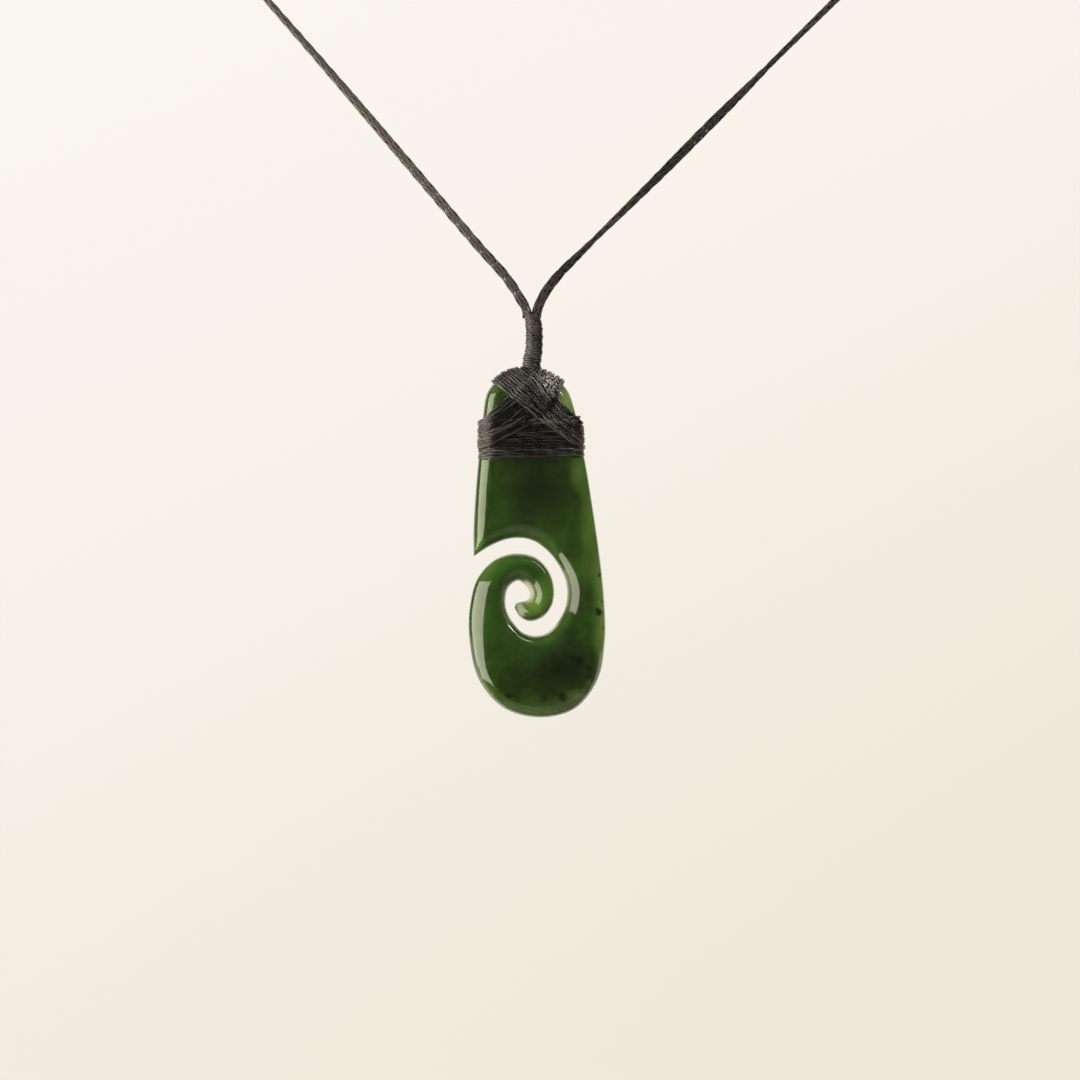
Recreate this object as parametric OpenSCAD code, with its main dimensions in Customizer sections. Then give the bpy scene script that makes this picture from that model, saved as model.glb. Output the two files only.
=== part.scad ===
// Greenstone koru pendant: a carved drop on a black waxed cord, hung as it is worn.
// Millimetres, +Z up, the pendant's face towards -Y, the origin at the back of the neck.

/* [Stone] */
// Thickness of the stone at its foot
foot_t = 5.6; // [4.6:0.1:7]
// Thickness of the stone at its head, under the lashing
head_t = 4.8; // [4:0.1:6]
// Width of the rounded rim along every edge, seen from the front
rim_w = 2.1; // [1.2:0.1:2.4]
// How far the middle of a face stands above its rim
crown = 0.25; // [0.1:0.05:0.5]

/* [Lashing] */
// Thickness of the wound band round the head
band_t = 0.45; // [0.3:0.05:0.9]
// Thickness of the crossed straps and the cap over the head
cross_t = 0.6; // [0.4:0.05:1]
// Height of the wound band
band_h = 4.9; // [3.5:0.1:5.5]
// How deep the band's seat is cut into each side of the stone
seat_depth = 0.4; // [0.1:0.05:0.6]
// Gap between the stone and what is wound on it
seat_gap = 0.12; // [0.1:0.01:0.2]

/* [Stem] */
// Diameter of the whipping that binds the cord's two ends
stem_d = 2.5; // [2.4:0.1:3]
// How far the whipping's foot leans to the left of its top
stem_lean = 0.4; // [0:0.1:0.6]

/* [Cord] */
// Mean diameter of the braided cord
cord_d = 1.2; // [0.9:0.05:1.2]

/* [Hidden] */

// The point where the cord's two strands part, seen from the back of the neck
parting = [0, -140, -128];

// Sections across the stone, measured from the parting. They run from the horn's point
// over the head, down the right side, round the foot, up the left side and into the curl.
// Columns: outer edge x, outer edge z, inner edge x, inner edge z
sections = [
    [-8.6, -35.0, -8.6, -35.0],
    [-8.6, -32.6, -7.4, -34.2],
    [-8.35, -27.0, -6.2, -33.5],
    [-7.97, -21.2, -5.1, -33.0],
    [-7.93, -20.8, -4.6, -32.8],
    [-7.35, -15.0, -3.9, -32.6],
    [-6.5, -11.2, -3.2, -32.45],
    [-4.4, -8.9, -2.6, -32.4],
    [-1.2, -8.1, -2.0, -32.4],
    [2.0, -8.7, -1.4, -32.45],
    [4.5, -10.8, -0.7, -32.6],
    [6.0, -14.6, 0.0, -32.85],
    [7.22, -20.8, 0.5, -33.1],
    [7.3, -21.2, 1.0, -33.45],
    [8.5, -28.5, 2.0, -34.3],
    [9.5, -35.5, 3.3, -35.9],
    [10.1, -41.5, 4.6, -38.7],
    [10.2, -47.0, 4.5, -42.3],
    [8.9, -53.2, 3.0, -44.9],
    [5.8, -56.9, 1.4, -46.2],
    [0.8, -58.1, 0.0, -46.4],
    [-4.4, -56.7, -1.6, -45.9],
    [-7.8, -52.9, -2.9, -44.6],
    [-9.2, -47.5, -3.9, -42.8],
    [-9.2, -42.2, -4.1, -40.9],
    [-8.0, -38.0, -3.7, -39.5],
    [-5.6, -35.5, -3.0, -38.8],
    [-2.5, -34.6, -2.2, -38.5],
    [0.3, -35.2, -1.4, -39.0],
    [2.1, -37.1, -0.8, -39.8],
    [2.9, -39.8, -0.6, -40.5],
    [2.5, -42.2, -1.0, -41.3],
    [1.0, -43.9, -1.7, -41.5],
    [-0.8, -44.3, -2.2, -41.6],
    [-2.1, -43.6, -2.6, -41.8],
    [-2.8, -42.4, -2.8, -42.4]
];
outer_edge = [for (s = sections) [s[0], s[1]]];
inner_edge = [for (s = sections) [s[2], s[3]]];

// Sections between two rows of the table, and steps round a quarter of the rim
section_steps = 4;
rim_steps = 4;
// A section narrower than this thins towards its point
point_w = 2.6;
// The rim takes at most this share of a narrow section's width
rim_share = 0.42;

stone_top = -8.1;
stone_foot = -58.1;

// The lashing, measured from the parting
band_foot = -20.8;
band_top = band_foot + band_h;
waist = [[-3.6, -12.3], [2.8, -12.7]];
shoulder = [[-5.8, -10.3], [4.3, -10.4]];
hip = [[-7.1, -15.0], [6.0, -15.0]];
cap_h = 4.6;
cap_steps = 9;
cap_rows = [for (i = [0 : cap_steps - 1]) stone_top - cap_h * (1 - sin(90 * i / cap_steps))];
head_rows = concat([-21, -18.5, -16], cap_rows);
head_x = -1.2;
slice_t = 0.02;
beyond = 4;
stem_top = -0.9;
stem_foot = stone_top + seat_gap + cross_t;

// The seat that the lashing lies in steps in at its foot and dies out at its top
seat_foot = -21.2;
seat_full = -20.85;
seat_top = -14.5;

// The cord's route, point by point, from the back of the neck: the two strands rise from
// the stem's top, and the neck carries the rest
cord_sides = 8;
left_route = [
    [-0.95, -140, -128.9], [-0.95, -140, -128.4], [-1.3, -140, -127.2], [-1.85, -139.9, -126.3],
    [-2.7, -139.3, -124.8], [-3.65, -138.7, -123.35], [-7.3, -136.9, -119], [-12.2, -134.3, -113],
    [-17.05, -131.8, -107], [-21.95, -129.3, -101], [-26.85, -126.8, -95], [-31.8, -124.3, -89],
    [-36.8, -121.7, -83], [-41.7, -119.2, -77], [-46.6, -116.7, -71], [-51.5, -114.2, -65],
    [-56.5, -111.7, -59], [-61, -109.4, -53.5], [-65.5, -107.1, -48]
];
right_route = [
    [0.35, -140, -128.9], [0.35, -140, -128.4], [0.65, -140, -127.2], [1.05, -139.9, -126.3],
    [1.9, -139.3, -124.8], [3, -138.7, -123.35], [7.25, -136.9, -119], [13.4, -134.3, -113],
    [19.5, -131.8, -107], [25.45, -129.3, -101], [31.5, -126.8, -95], [37.5, -124.3, -89],
    [43.6, -121.7, -83], [49.7, -119.2, -77], [55.7, -116.7, -71], [61.8, -114.2, -65],
    [68.3, -111.5, -58.5], [74.9, -108.7, -52]
];
neck_route = [
    [-65.5, -107.1, -48], [-68.2, -105.72, -44.7], [-73, -102.6, -39], [-78.5, -96.8, -33.2],
    [-83.6, -87, -27.5], [-86.6, -74, -22.3], [-86.5, -59, -17.5], [-82, -43, -13],
    [-73.5, -28.5, -9], [-61, -16, -5.5], [-44.5, -6.8, -2.6], [-24, -1.3, -0.7], [0, 0.6, 0],
    [24, -1.3, -0.7], [44.5, -6.8, -2.6], [61.5, -16, -5.5], [75, -28.5, -9],
    [84.4, -43, -13.2], [89.6, -59, -18.4], [91.2, -74, -24.4], [89.8, -86.5, -30.7],
    [86.6, -96.8, -37.4], [82.1, -104.1, -44], [78.2, -107.3, -48.75], [74.9, -108.7, -52]
];

function unit(v) = v / norm(v);

// A smooth line through hand-set points, whose slope at each point follows its neighbours
function chord(p, i) = norm(p[i + 1] - p[i]);
function slope(p, i) =
    i == 0 ? (p[1] - p[0]) / chord(p, 0)
    : i == len(p) - 1 ? (p[i] - p[i - 1]) / chord(p, i - 1)
    : let (a = chord(p, i - 1), b = chord(p, i))
      ((p[i] - p[i - 1]) * b / a + (p[i + 1] - p[i]) * a / b) / (a + b);
function between(p, i, s) =
    let (c = chord(p, i), s2 = s * s, s3 = s2 * s)
    p[i] * (2 * s3 - 3 * s2 + 1) + slope(p, i) * c * (s3 - 2 * s2 + s)
    + p[i + 1] * (3 * s2 - 2 * s3) + slope(p, i + 1) * c * (s3 - s2);
function smooth_line(p, steps) = [
    for (i = [0 : len(p) - 2]) for (k = [0 : steps - 1]) between(p, i, k / steps),
    p[len(p) - 1]
];
function heading(line, i) =
    unit(line[min(i + 1, len(line) - 1)] - line[max(i - 1, 0)]);

// Quads between equal rings of points, ring after ring
function ring_walls(rings, n) = [
    for (i = [0 : rings - 2]) for (k = [0 : n - 1])
        [i * n + k, i * n + (k + 1) % n, (i + 1) * n + (k + 1) % n, (i + 1) * n + k]
];

// How far the lashing's seat is cut into the stone's sides at a height
function seat(z) =
    z < seat_foot || z > seat_top ? 0
    : seat_depth * min((z - seat_foot) / (seat_full - seat_foot),
                       (seat_top - z) / (seat_top - seat_full));
function with_seat(p) = [p[0] - sign(p[0]) * seat(p[1]), p[1]];

// Half the stone's thickness at a height, before any section thins
function half_t(z) =
    let (share = (stone_top - z) / (stone_top - stone_foot))
    (head_t + (foot_t - head_t) * share) / 2;

// One section's ring: round the outer edge to the back, across, round the inner edge, across
function stone_ring(a, b, in_a, in_b) =
    let (w = norm(a - b),
         rim = min(rim_w, rim_share * w),
         thin = min(1, sqrt(w / point_w)),
         middle = (a + in_a * rim + b + in_b * rim) / 2)
    concat(
        [for (k = [-rim_steps : rim_steps]) rim_point(a, in_a, rim, thin, 90 * k / rim_steps)],
        [[middle[0], half_t(middle[1]) * thin, middle[1]]],
        [for (k = [-rim_steps : rim_steps]) rim_point(b, in_b, rim, thin, -90 * k / rim_steps)],
        [[middle[0], -half_t(middle[1]) * thin, middle[1]]]
    );
function rim_point(edge, inward, rim, thin, turn) =
    let (p = edge + inward * rim * (1 - cos(turn)))
    [p[0], (half_t(p[1]) - crown) * thin * sin(turn), p[1]];

module greenstone_drop() {
    outer = [for (p = smooth_line(outer_edge, section_steps)) with_seat(p)];
    inner = smooth_line(inner_edge, section_steps);
    last = len(outer) - 1;
    ring_size = 4 * rim_steps + 4;
    rings = [
        for (i = [1 : last - 1])
            let (ta = heading(outer, i), tb = heading(inner, i))
            stone_ring(outer[i], inner[i], [ta[1], -ta[0]], [-tb[1], tb[0]])
    ];
    horn = (last - 1) * ring_size;
    bulb = horn + 1;
    last_ring = (last - 2) * ring_size;
    points = concat(
        [for (r = rings) each r],
        [[outer[0][0], 0, outer[0][1]], [outer[last][0], 0, outer[last][1]]]
    );
    horn_faces = [for (k = [0 : ring_size - 1]) [horn, (k + 1) % ring_size, k]];
    bulb_faces = [
        for (k = [0 : ring_size - 1]) [bulb, last_ring + k, last_ring + (k + 1) % ring_size]
    ];
    color("darkgreen")
        translate(parting)
            polyhedron(points, concat(ring_walls(last - 1, ring_size), horn_faces, bulb_faces),
                       convexity = 10);
}

// The head's level section, grown on every side. Near the top it thins with the rim.
head_line = smooth_line(outer_edge, section_steps);
function edge_x(first_row, last_row, z) =
    lookup(z, [
        for (i = [first_row * section_steps : last_row * section_steps])
            [head_line[i][1], head_line[i][0]]
    ]);
top_row = 8;
side_rows = 6;

module head_slice(z, grow) {
    inset = seat(max(z, seat_full)) - grow;
    left = edge_x(top_row - side_rows, top_row, z) + inset;
    right = edge_x(top_row, top_row + side_rows, z) - inset;
    below_top = min(1, (stone_top - z) / rim_w);
    depth = half_t(z) * sqrt(1 - pow(1 - below_top, 2)) + grow;
    round_w = min(rim_w + grow, (right - left) / 2);
    translate([0, 0, z])
        linear_extrude(slice_t, center = true)
            hull() {
                translate([left + round_w, 0])
                    scale([round_w, depth])
                        circle(1, $fn = 32);
                translate([right - round_w, 0])
                    scale([round_w, depth])
                        circle(1, $fn = 32);
            }
}

module head_form(grow) {
    for (i = [0 : len(head_rows) - 2])
        hull() {
            head_slice(head_rows[i], grow);
            head_slice(head_rows[i + 1], grow);
        }
}

// A disc across the stem, its upper face at a height
module stem_disc(z) {
    lean = stem_lean * (stem_top - z) / (stem_top - stem_foot);
    translate([-lean, 0, z - slice_t])
        cylinder(h = slice_t, d = stem_d, $fn = 32);
}

// What is wound on the head: its outer form rises to the stem, and the stone fills it
module head_shell(t) {
    top_z = head_rows[len(head_rows) - 1];
    difference() {
        union() {
            head_form(seat_gap + t);
            hull() {
                head_slice(top_z, seat_gap + t);
                stem_disc(stem_foot);
            }
        }
        head_form(seat_gap);
        hull() {
            head_slice(top_z, seat_gap);
            translate([head_x, 0, stone_top + seat_gap])
                cylinder(h = slice_t, r = seat_gap, $fn = 32);
        }
    }
}

module band_lashing() {
    color([0.14, 0.12, 0.12])
        translate(parting)
            intersection() {
                head_shell(band_t);
                translate([-20, -20, band_foot])
                    cube([40, 40, band_h]);
            }
}

// Straight on past the second of two points
function past(p, q) = q + unit(q - p) * beyond;

module cross_outline() {
    polygon([
        past(waist[0], shoulder[0]), waist[0], past(waist[0], hip[0]),
        [past(waist[0], hip[0])[0], band_top + seat_gap],
        [past(waist[1], hip[1])[0], band_top + seat_gap],
        past(waist[1], hip[1]), waist[1], past(waist[1], shoulder[1]),
        [0, stone_top + beyond]
    ]);
}

module cross_lashing() {
    color([0.14, 0.12, 0.12])
        translate(parting)
            intersection() {
                head_shell(cross_t);
                rotate([90, 0, 0])
                    linear_extrude(40, center = true)
                        cross_outline();
            }
}

module stem_whipping() {
    color([0.14, 0.12, 0.12])
        translate(parting)
            hull() {
                stem_disc(stem_top);
                stem_disc(stem_foot + slice_t);
            }
}

// A plain tube along a route, its rings turned as little as they can be
function turned(u, t) = unit(u - t * (u * t));
module tube(route, steps) {
    line = smooth_line(route, steps);
    last = len(line) - 1;
    ends = len(route) - 1;
    headings = [
        for (i = [0 : last])
            i == 0 ? unit(route[1] - route[0])
            : i == last ? unit(route[ends] - route[ends - 1])
            : heading(line, i)
    ];
    sides = [
        for (i = 0, u = turned([0, 1, 0.2], headings[0]); i <= last;
             i = i + 1, u = i <= last ? turned(u, headings[i]) : u) u
    ];
    rings = [
        for (i = [0 : last])
            let (u = sides[i], v = cross(headings[i], u))
            [for (k = [0 : cord_sides - 1])
                let (a = 360 * k / cord_sides)
                line[i] + (u * cos(a) + v * sin(a)) * cord_d / 2]
    ];
    start_face = [for (k = [0 : cord_sides - 1]) k];
    end_face = [for (k = [cord_sides - 1 : -1 : 0]) last * cord_sides + k];
    walls = ring_walls(last + 1, cord_sides);
    color([0.12, 0.11, 0.11])
        polyhedron([for (r = rings) each r],
                   concat([for (w = walls) [w[3], w[2], w[1], w[0]]],
                          [end_face, start_face]),
                   convexity = 4);
}

module cord_left() {
    tube(left_route, 1);
}

module cord_right() {
    tube(right_route, 1);
}

module neck_cord() {
    tube(neck_route, 2);
}

greenstone_drop();
band_lashing();
cross_lashing();
stem_whipping();
cord_left();
cord_right();
neck_cord();
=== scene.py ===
import math
import random
import bmesh
import bpy
import numpy as np
from mathutils import Matrix, Vector


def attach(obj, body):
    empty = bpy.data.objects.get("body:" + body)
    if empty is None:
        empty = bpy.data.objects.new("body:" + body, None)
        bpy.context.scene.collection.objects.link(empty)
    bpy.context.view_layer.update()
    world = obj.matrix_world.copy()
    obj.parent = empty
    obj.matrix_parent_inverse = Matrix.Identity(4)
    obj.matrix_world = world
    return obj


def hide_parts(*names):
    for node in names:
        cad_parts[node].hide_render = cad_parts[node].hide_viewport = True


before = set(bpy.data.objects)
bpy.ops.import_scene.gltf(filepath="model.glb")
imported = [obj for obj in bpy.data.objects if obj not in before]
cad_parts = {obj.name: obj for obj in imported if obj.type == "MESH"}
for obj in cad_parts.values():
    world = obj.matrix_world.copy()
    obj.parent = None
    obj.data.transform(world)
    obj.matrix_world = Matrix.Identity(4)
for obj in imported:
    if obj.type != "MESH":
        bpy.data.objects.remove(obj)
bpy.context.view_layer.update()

mm = 0.001  # sizes and places below are in millimetres, unless a note says otherwise
parting = np.array([0, -140, -128])  # where the cord's two strands part


def linear(hexColour):
    channels = [int(hexColour[i:i + 2], 16) / 255 for i in (1, 3, 5)]
    return [c / 12.92 if c <= 0.04045 else ((c + 0.055) / 1.055) ** 2.4 for c in channels] + [1]


def put(tree, kind, settings=None, inputs=None):
    node = tree.nodes.new(kind)
    for name, value in (settings or {}).items():
        setattr(node, name, value)
    for name, value in (inputs or {}).items():
        if isinstance(value, bpy.types.NodeSocket):
            tree.links.new(value, node.inputs[name])
        else:
            node.inputs[name].default_value = value
    return node


def smoothLine(points, steps):
    p = np.array(points, float)
    chord = np.linalg.norm(np.diff(p, axis=0), axis=1)
    step = np.diff(p, axis=0)
    slope = np.zeros_like(p)
    slope[0], slope[-1] = step[0] / chord[0], step[-1] / chord[-1]
    for i in range(1, len(p) - 1):
        a, b = chord[i - 1], chord[i]
        slope[i] = (step[i - 1] * b / a + step[i] * a / b) / (a + b)
    line = []
    for i in range(len(p) - 1):
        for s in np.arange(steps) / steps:
            line.append(
                p[i] * (2 * s**3 - 3 * s**2 + 1) + slope[i] * chord[i] * (s**3 - 2 * s**2 + s)
                + p[i + 1] * (3 * s**2 - 2 * s**3) + slope[i + 1] * chord[i] * (s**3 - s**2))
    return np.array(line + [p[-1]])


def runLength(line):
    return np.concatenate([[0], np.cumsum(np.linalg.norm(np.diff(line, axis=0), axis=1))])


def evenly(line, gap):  # the same line with its points an even gap apart
    s = runLength(line)
    at = np.linspace(0, s[-1], max(2, round(s[-1] / gap) + 1))
    return np.stack([np.interp(at, s, line[:, k]) for k in range(3)], 1)


def smoothStep(low, high, x):
    t = np.clip((x - low) / (high - low), 0, 1)
    return t * t * (3 - 2 * t)


def newObject(name, mesh):
    piece = bpy.data.objects.new(name, mesh)
    bpy.context.scene.collection.objects.link(piece)
    return piece


shot = {"turn": 3.5, "distance": 700, "mmPerPixel": 0.1433, "partingPixel": (534, 312),
        "framePixels": 1080, "sensor": 36, "nearest": 0.05, "farthest": 50}


def placeCamera():
    turn = math.radians(shot["turn"])
    ahead = np.array([math.sin(turn), math.cos(turn), 0])
    right = np.array([math.cos(turn), -math.sin(turn), 0])
    middle = shot["framePixels"] / 2
    aside, below = ((middle - pixel) * shot["mmPerPixel"] for pixel in shot["partingPixel"])
    aim = parting + right * aside - np.array([0, 0, below])
    data = bpy.data.cameras.new("portraitCamera")
    data.sensor_width = shot["sensor"]
    data.lens = shot["sensor"] * shot["distance"] / (shot["framePixels"] * shot["mmPerPixel"])
    data.clip_start, data.clip_end = shot["nearest"], shot["farthest"]
    camera = newObject("portraitCamera", data)
    camera.location = (aim - ahead * shot["distance"]) * mm
    camera.rotation_mode = "QUATERNION"
    camera.rotation_quaternion = Vector(ahead).to_track_quat("-Z", "Y")
    bpy.context.scene.camera = camera


placeCamera()
print("camera placed")


leftRoute = [
    (-0.95, -140, -128.9), (-0.95, -140, -128.4), (-1.3, -140, -127.2), (-1.85, -139.9, -126.3),
    (-2.7, -139.3, -124.8), (-3.65, -138.7, -123.35), (-7.3, -136.9, -119), (-12.2, -134.3, -113),
    (-17.05, -131.8, -107), (-21.95, -129.3, -101), (-26.85, -126.8, -95), (-31.8, -124.3, -89),
    (-36.8, -121.7, -83), (-41.7, -119.2, -77), (-46.6, -116.7, -71), (-51.5, -114.2, -65),
    (-56.5, -111.7, -59), (-61, -109.4, -53.5), (-65.5, -107.1, -48)]
rightRoute = [
    (0.35, -140, -128.9), (0.35, -140, -128.4), (0.65, -140, -127.2), (1.05, -139.9, -126.3),
    (1.9, -139.3, -124.8), (3, -138.7, -123.35), (7.25, -136.9, -119), (13.4, -134.3, -113),
    (19.5, -131.8, -107), (25.45, -129.3, -101), (31.5, -126.8, -95), (37.5, -124.3, -89),
    (43.6, -121.7, -83), (49.7, -119.2, -77), (55.7, -116.7, -71), (61.8, -114.2, -65),
    (68.3, -111.5, -58.5), (74.9, -108.7, -52)]
neckRoute = [
    (-65.5, -107.1, -48), (-68.2, -105.72, -44.7), (-73, -102.6, -39), (-78.5, -96.8, -33.2),
    (-83.6, -87, -27.5), (-86.6, -74, -22.3), (-86.5, -59, -17.5), (-82, -43, -13),
    (-73.5, -28.5, -9), (-61, -16, -5.5), (-44.5, -6.8, -2.6), (-24, -1.3, -0.7), (0, 0.6, 0),
    (24, -1.3, -0.7), (44.5, -6.8, -2.6), (61.5, -16, -5.5), (75, -28.5, -9),
    (84.4, -43, -13.2), (89.6, -59, -18.4), (91.2, -74, -24.4), (89.8, -86.5, -30.7),
    (86.6, -96.8, -37.4), (82.1, -104.1, -44), (78.2, -107.3, -48.75), (74.9, -108.7, -52)]

braid = {
    "yarns": 16, "layLength": 22, "yarnRadius": 0.14, "meanRadius": 0.38, "flatness": 0.19,
    "weaveDepth": 0.018, "coreRadius": 0.28, "yarnSides": 5, "step": 0.36, "width": 1.4,
    "routeSteps": 10, "seed": 5,
    # columns: millimetres along the loop, turn of the oval's wide side from the picture plane
    "leftTurns": [(0, 0), (30, 15), (62, 62), (109, 90)],
    "rightTurns": [(0, 0), (6, 20), (15.4, 90), (40, 180), (54, 270), (75, 300), (112, 360)],
}


def newTree(name, sizes, counts):  # a tree with its inputs, and its path cut to even steps
    tree = bpy.data.node_groups.new(name, "GeometryNodeTree")
    inputs = [("Geometry", "Geometry"), *((size, "Float") for size in sizes),
              *((count, "Int") for count in counts), ("Finish", "Material")]
    for label, kind in inputs:
        tree.interface.new_socket(label, in_out="INPUT", socket_type="NodeSocket" + kind)
    tree.interface.new_socket("Geometry", in_out="OUTPUT", socket_type="NodeSocketGeometry")
    given = put(tree, "NodeGroupInput").outputs
    route = put(tree, "GeometryNodeMeshToCurve", inputs={"Mesh": given["Geometry"]})
    even = put(tree, "GeometryNodeResampleCurve", {"mode": "LENGTH"},
               {"Curve": route.outputs[0], "Length": given["Step"]})
    return tree, given, even.outputs[0]


def layStrands(tree, given, copies, tilt, radius):  # turns each copy outwards, and tones it
    normal = put(tree, "GeometryNodeInputNormal")
    tilted = put(tree, "GeometryNodeSetCurveTilt", inputs={"Curve": copies, "Tilt": tilt})
    outwards = put(tree, "ShaderNodeVectorMath", {"operation": "SCALE"},
                   {0: normal.outputs[0], "Scale": radius})
    placed = put(tree, "GeometryNodeSetPosition",
                 inputs={"Geometry": tilted.outputs[0], "Offset": outwards.outputs[0]})
    tone = put(tree, "FunctionNodeRandomValue", {"data_type": "FLOAT"}, {"Seed": given["Seed"]})
    toned = put(tree, "GeometryNodeStoreNamedAttribute", {"data_type": "FLOAT", "domain": "CURVE"},
                {"Geometry": placed.outputs[0], "Name": "strandTone", "Value": tone.outputs[1]})
    return toned.outputs[0]


def dressTree(tree, body, finish):
    soft = put(tree, "GeometryNodeSetShadeSmooth", inputs={"Geometry": body})
    real = put(tree, "GeometryNodeRealizeInstances", inputs={"Geometry": soft.outputs[0]})
    dressed = put(tree, "GeometryNodeSetMaterial",
                  inputs={"Geometry": real.outputs[0], "Material": finish})
    put(tree, "NodeGroupOutput", inputs={"Geometry": dressed.outputs[0]})


def braidTree():
    tree, given, path = newTree("braidedCord", (
        "Lay Length", "Yarn Radius", "Mean Radius", "Flatness", "Weave Depth", "Core Radius",
        "Step", "From", "To"), ("Yarn Sides", "Yarns", "Seed"))
    along = put(tree, "GeometryNodeSplineParameter")
    keep = put(tree, "GeometryNodeCaptureAttribute")
    keep.capture_items.new("FLOAT", "Along")
    tree.links.new(path, keep.inputs[0])
    tree.links.new(along.outputs["Length"], keep.inputs["Along"])
    yarns = put(tree, "GeometryNodeDuplicateElements", {"domain": "SPLINE"},
                {"Geometry": keep.outputs[0], "Amount": given["Yarns"]})
    normal = put(tree, "GeometryNodeInputNormal")
    wide = put(tree, "GeometryNodeInputNamedAttribute", {"data_type": "FLOAT_VECTOR"},
               {"Name": "wideAxis"})
    across = put(tree, "ShaderNodeVectorMath", {"operation": "DOT_PRODUCT"},
                 {0: normal.outputs[0], 1: wide.outputs[0]})
    value = dict(given.items(), length=keep.outputs["Along"], across=across.outputs["Value"],
                 index=yarns.outputs["Duplicate Index"])
    # half the yarns run one way round and half the other, and each passes over and under
    sums = [
        ("half", "MULTIPLY", "Yarns", 0.5), ("isFirst", "LESS_THAN", "index", "half"),
        ("way", "MULTIPLY_ADD", "isFirst", 2, -1), ("place", "MODULO", "index", "half"),
        ("part", "DIVIDE", "place", "half"), ("lays", "DIVIDE", "length", "Lay Length"),
        ("turns", "MULTIPLY_ADD", "way", "lays", "part"), ("tilt", "MULTIPLY", "turns", math.tau),
        ("waves", "MULTIPLY", "lays", "half"), ("wave", "MULTIPLY", "waves", math.tau),
        ("over", "COSINE", "wave"), ("overWay", "MULTIPLY", "over", "way"),
        ("lift", "MULTIPLY", "overWay", "Weave Depth"),
        ("square", "MULTIPLY", "across", "across"), ("oval", "MULTIPLY_ADD", "square", 2, -1),
        ("ovalLift", "MULTIPLY_ADD", "oval", "Flatness", "Mean Radius"),
        ("radius", "ADD", "ovalLift", "lift"),
        ("before", "LESS_THAN", "length", "From"), ("after", "GREATER_THAN", "length", "To"),
        ("outside", "MAXIMUM", "before", "after")]
    for name, operation, *terms in sums:
        node = put(tree, "ShaderNodeMath", {"operation": operation},
                   {i: value.get(term, term) for i, term in enumerate(terms)})
        value[name] = node.outputs[0]
    toned = layStrands(tree, given, yarns.outputs[0], value["tilt"], value["radius"])
    joined = put(tree, "GeometryNodeJoinGeometry")
    for line, radius in ((toned, "Yarn Radius"), (keep.outputs[0], "Core Radius")):
        stretch = put(tree, "GeometryNodeDeleteGeometry", {"domain": "POINT"},
                      {"Geometry": line, "Selection": value["outside"]})
        ring = put(tree, "GeometryNodeCurvePrimitiveCircle",
                   inputs={"Resolution": given["Yarn Sides"], "Radius": given[radius]})
        body = put(tree, "GeometryNodeCurveToMesh",
                   inputs={"Curve": stretch.outputs[0], "Profile Curve": ring.outputs[0],
                           "Fill Caps": True})
        tree.links.new(body.outputs[0], joined.inputs[0])
    dressTree(tree, joined.outputs[0], given["Finish"])
    return tree


def pathMesh(name, lines, closed=False, wideAxis=None):
    points, edges = [], []
    for line in lines:
        first, count = len(points), len(line)
        points += [tuple(p) for p in line * mm]
        edges += [(first + i, first + i + 1) for i in range(count - 1)]
        if closed:
            edges.append((first + count - 1, first))
    mesh = bpy.data.meshes.new(name)
    mesh.from_pydata(points, edges, [])
    if wideAxis is not None:
        mesh.attributes.new("wideAxis", "FLOAT_VECTOR", "POINT").data.foreach_set(
            "vector", wideAxis.astype(float).ravel())
    return mesh


def grow(name, path, tree, values):  # runs a tree on a path and keeps the plain mesh
    holder = newObject(name + "Path", path)
    modifier = holder.modifiers.new(tree.name, "NODES")
    modifier.node_group = tree
    for item in tree.interface.items_tree:
        if item.in_out == "INPUT" and item.name in values:
            modifier[item.identifier] = values[item.name]
    ready = holder.evaluated_get(bpy.context.evaluated_depsgraph_get())
    mesh = bpy.data.meshes.new_from_object(ready)
    mesh.name = name
    holder.modifiers.remove(modifier)
    bpy.data.objects.remove(holder)
    bpy.data.meshes.remove(path)
    return newObject(name, mesh)


def cordLoop():
    left, neck, right = (smoothLine(route, braid["routeSteps"])
                         for route in (leftRoute, neckRoute, rightRoute))
    loop = np.concatenate([left, neck[1:], right[::-1][1:]])
    lengths = [runLength(line)[-1] for line in (left, neck, right)]
    s = runLength(loop)
    total = s[-1]
    leftAt, leftTurn = zip(*braid["leftTurns"])
    rightAt, rightTurn = zip(*braid["rightTurns"])
    at = list(leftAt) + [total - v for v in rightAt[::-1]]
    turn = np.radians(np.interp(s, at, list(leftTurn) + list(rightTurn[::-1])))
    along = np.gradient(loop, axis=0)
    along /= np.linalg.norm(along, axis=1)[:, None]
    flat = np.cross(along, [0, 1, 0])
    flat /= np.linalg.norm(flat, axis=1)[:, None]
    deep = np.cross(along, flat)
    wide = flat * np.cos(turn)[:, None] + deep * np.sin(turn)[:, None]
    return loop, wide, lengths, (left, neck, right)


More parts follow.
